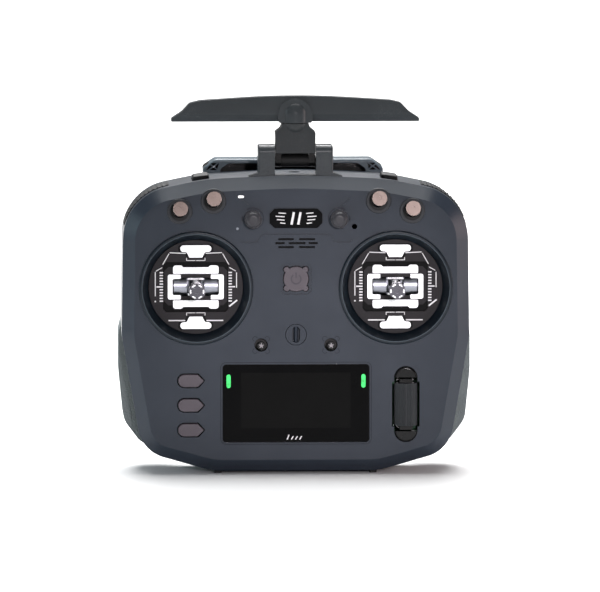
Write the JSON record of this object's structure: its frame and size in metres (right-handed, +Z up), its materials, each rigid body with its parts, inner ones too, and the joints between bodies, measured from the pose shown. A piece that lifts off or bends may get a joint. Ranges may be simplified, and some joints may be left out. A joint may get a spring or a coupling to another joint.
{
  "type": "radio transmitter controller",
  "caption": "Gamepad-style hand-held radio transmitter with two gimbal sticks, toggle switches, screen, roller, rear grips, carry handle and folding T antenna.",
  "frame": {"origin": "on the plane that the feet stand on, under the middle of the controller", "axes": "+X to the right as seen from the face, the face looks along -Y, +Z up towards the antenna"},
  "size_m": [0.1688, 0.078, 0.1808],
  "materials": {
    "shell_front": "fine satin slate-grey moulding",
    "shell_rear": "satin slate-grey moulding",
    "grip_rubber": "textured rubber",
    "handle_plastic": "semi-gloss moulding",
    "antenna_plastic": "semi-gloss moulding",
    "knuckle_black": "black",
    "screen_glass": "black polished window",
    "display": "display panel",
    "light_green": "glowing green window",
    "badge_black": "gloss black plate",
    "bezel_black": "semi-gloss dark ring",
    "plate_grey": "matt dark plate",
    "core_black": "matt black",
    "gimbal_steel": "bright plated steel",
    "drum_pale": "satin aluminium",
    "stick_steel": "steel shaft",
    "stick_dark": "dark anodised knurled end",
    "bush_black": "black collars and nuts",
    "lever_metal": "warm satin metal",
    "knob_dark": "dark domed dial",
    "trim_black": "black",
    "key_grey": "satin grey keys",
    "shoulder_black": "black press button",
    "strip_black": "ribbed strip",
    "roller_grey": "ribbed dark wheel",
    "roller_black": "glossy black",
    "board_green": "circuit board",
    "cell_wrap": "wrapped lithium cell",
    "speaker_black": "speaker",
    "foot_rubber": "rubber",
    "screw_steel": "dark screws",
    "module_black": "matt black cover",
    "port_steel": "pressed metal",
    "jack_black": "black socket"
  },
  "bodies": {
    "housing": {"front_shell": "shell_front", "rear_shell": "shell_rear", "grip_pad_left": "grip_rubber", "grip_pad_right": "grip_rubber", "carry_handle": "handle_plastic", "antenna_bracket": "antenna_plastic", "antenna_hinge_pin": "knuckle_black", "screen_glass": "screen_glass", "display_module": "display", "light_bars": "light_green", "badge_plate": "badge_black", "gimbal_bezel_left": "bezel_black", "gimbal_bezel_right": "bezel_black", "gimbal_plate_left": "plate_grey", "gimbal_plate_right": "plate_grey", "gimbal_cores": "core_black", "grip_left": "shell_rear", "grip_right": "shell_rear", "gimbal_metal_left": "gimbal_steel", "gimbal_metal_right": "gimbal_steel", "switch_bushes": "bush_black", "shoulder_strips": "strip_black", "main_board": "board_green", "battery_cells": "cell_wrap", "speaker": "speaker_black", "roller_housing": "roller_black", "lanyard_eye": "shell_front", "feet": "foot_rubber", "case_screws": "screw_steel", "module_cover": "module_black", "usb_port": "port_steel", "trainer_jack": "jack_black"},
    "cradle_left": {"gimbal_cradle_left": "drum_pale"},
    "stick_left": {"stick_shaft_left": "stick_steel", "stick_end_left": "stick_dark"},
    "toggle_inner_left": {"toggle_inner_left": "lever_metal"},
    "toggle_outer_left": {"toggle_outer_left": "lever_metal"},
    "dial_knob_left": {"dial_knob_left": "knob_dark"},
    "trim_yoke_left": {"trim_yoke_left": "trim_black"},
    "trim_cap_left": {"trim_cap_left": "trim_black"},
    "shoulder_button_left": {"shoulder_button_left": "shoulder_black"},
    "cradle_right": {"gimbal_cradle_right": "drum_pale"},
    "stick_right": {"stick_shaft_right": "stick_steel", "stick_end_right": "stick_dark"},
    "toggle_inner_right": {"toggle_inner_right": "lever_metal"},
    "toggle_outer_right": {"toggle_outer_right": "lever_metal"},
    "dial_knob_right": {"dial_knob_right": "knob_dark"},
    "trim_yoke_right": {"trim_yoke_right": "trim_black"},
    "trim_cap_right": {"trim_cap_right": "trim_black"},
    "shoulder_button_right": {"shoulder_button_right": "shoulder_black"},
    "power_button": {"power_button": "key_grey"},
    "menu_button_lower": {"menu_button_lower": "key_grey"},
    "menu_button_middle": {"menu_button_middle": "key_grey"},
    "menu_button_upper": {"menu_button_upper": "key_grey"},
    "roller_carriage": {"roller_carriage": "roller_black"},
    "roller": {"roller": "roller_grey"},
    "antenna_stem": {"antenna_stem": "antenna_plastic"},
    "antenna_blade": {"antenna_blade": "antenna_plastic"},
    "battery_door": {"battery_door": "module_black"},
    "battery_latch": {"battery_latch": "module_black"}
  },
  "joints": [
    {"name": "stick_vertical_left", "type": "hinge", "parent": "housing", "child": "cradle_left", "pos_m": [-0.0478, -0.008, 0.0898], "axis": [1, 0, 0], "range_deg": [-22, 22]},
    {"name": "stick_horizontal_left", "type": "hinge", "parent": "cradle_left", "child": "stick_left", "pos_m": [-0.0478, -0.008, 0.0898], "axis": [0, 0, 1], "range_deg": [-22, 22], "stiffness_Nm_per_rad": 0.02},
    {"name": "toggle_inner_left_tilt", "type": "hinge", "parent": "housing", "child": "toggle_inner_left", "pos_m": [-0.0395, -0.021, 0.1315], "axis": [1, 0, 0], "range_deg": [0, 20]},
    {"name": "toggle_outer_left_tilt", "type": "hinge", "parent": "housing", "child": "toggle_outer_left", "pos_m": [-0.0556, -0.021, 0.1267], "axis": [1, 0, 0], "range_deg": [0, 20]},
    {"name": "dial_knob_left_turn", "type": "hinge", "parent": "housing", "child": "dial_knob_left", "pos_m": [-0.0206, -0.021, 0.1231], "axis": [0, 1, 0], "range_deg": [-150, 150]},
    {"name": "trim_vertical_left", "type": "hinge", "parent": "housing", "child": "trim_yoke_left", "pos_m": [-0.0167, -0.0165, 0.0624], "axis": [1, 0, 0], "range_deg": [-12, 12], "stiffness_Nm_per_rad": 0.004},
    {"name": "trim_horizontal_left", "type": "hinge", "parent": "trim_yoke_left", "child": "trim_cap_left", "pos_m": [-0.0167, -0.0165, 0.0624], "axis": [0, 0, 1], "range_deg": [-12, 12], "stiffness_Nm_per_rad": 0.004},
    {"name": "shoulder_button_left_press", "type": "slide", "parent": "housing", "child": "shoulder_button_left", "axis": [0, 0, -1], "range_m": [0, 0.0016], "stiffness_N_per_m": 400, "springref_m": -0.001},
    {"name": "stick_vertical_right", "type": "hinge", "parent": "housing", "child": "cradle_right", "pos_m": [0.0478, -0.008, 0.0898], "axis": [1, 0, 0], "range_deg": [-22, 22], "stiffness_Nm_per_rad": 0.02},
    {"name": "stick_horizontal_right", "type": "hinge", "parent": "cradle_right", "child": "stick_right", "pos_m": [0.0478, -0.008, 0.0898], "axis": [0, 0, 1], "range_deg": [-22, 22], "stiffness_Nm_per_rad": 0.02},
    {"name": "toggle_inner_right_tilt", "type": "hinge", "parent": "housing", "child": "toggle_inner_right", "pos_m": [0.0395, -0.021, 0.1315], "axis": [1, 0, 0], "range_deg": [0, 20]},
    {"name": "toggle_outer_right_tilt", "type": "hinge", "parent": "housing", "child": "toggle_outer_right", "pos_m": [0.0556, -0.021, 0.1267], "axis": [1, 0, 0], "range_deg": [0, 20]},
    {"name": "dial_knob_right_turn", "type": "hinge", "parent": "housing", "child": "dial_knob_right", "pos_m": [0.0206, -0.021, 0.1231], "axis": [0, 1, 0], "range_deg": [-150, 150]},
    {"name": "trim_vertical_right", "type": "hinge", "parent": "housing", "child": "trim_yoke_right", "pos_m": [0.0167, -0.0165, 0.0624], "axis": [1, 0, 0], "range_deg": [-12, 12], "stiffness_Nm_per_rad": 0.004},
    {"name": "trim_horizontal_right", "type": "hinge", "parent": "trim_yoke_right", "child": "trim_cap_right", "pos_m": [0.0167, -0.0165, 0.0624], "axis": [0, 0, 1], "range_deg": [-12, 12], "stiffness_Nm_per_rad": 0.004},
    {"name": "shoulder_button_right_press", "type": "slide", "parent": "housing", "child": "shoulder_button_right", "axis": [0, 0, -1], "range_m": [0, 0.0016], "stiffness_N_per_m": 400, "springref_m": -0.001},
    {"name": "power_press", "type": "slide", "parent": "housing", "child": "power_button", "axis": [0, 1, 0], "range_m": [0, 0.0006], "stiffness_N_per_m": 600, "springref_m": -0.001},
    {"name": "menu_lower_press", "type": "slide", "parent": "housing", "child": "menu_button_lower", "axis": [0, 1, 0], "range_m": [0, 0.0008], "stiffness_N_per_m": 500, "springref_m": -0.001},
    {"name": "menu_middle_press", "type": "slide", "parent": "housing", "child": "menu_button_middle", "axis": [0, 1, 0], "range_m": [0, 0.0008], "stiffness_N_per_m": 500, "springref_m": -0.001},
    {"name": "menu_upper_press", "type": "slide", "parent": "housing", "child": "menu_button_upper", "axis": [0, 1, 0], "range_m": [0, 0.0008], "stiffness_N_per_m": 500, "springref_m": -0.001},
    {"name": "roller_press", "type": "slide", "parent": "housing", "child": "roller_carriage", "axis": [0, 1, 0], "range_m": [0, 0.0006], "stiffness_N_per_m": 600, "springref_m": -0.001},
    {"name": "roller_spin", "type": "hinge", "parent": "roller_carriage", "child": "roller", "pos_m": [0.0526, -0.0195, 0.0337], "axis": [0, 0, 1], "continuous": true},
    {"name": "antenna_fold", "type": "hinge", "parent": "housing", "child": "antenna_stem", "pos_m": [0, -0.0065, 0.15], "axis": [-1, 0, 0], "range_deg": [0, 80]},
    {"name": "antenna_swivel", "type": "hinge", "parent": "antenna_stem", "child": "antenna_blade", "pos_m": [0, -0.0075, 0.1682], "axis": [0, 0, 1], "range_deg": [-90, 0]},
    {"name": "battery_door_open", "type": "hinge", "parent": "housing", "child": "battery_door", "pos_m": [0, 0.023, 0.017], "axis": [-1, 0, 0], "range_deg": [0, 100]},
    {"name": "battery_latch_slide", "type": "slide", "parent": "battery_door", "child": "battery_latch", "axis": [0, 0, -1], "range_m": [0, 0.0022]}
  ]
}
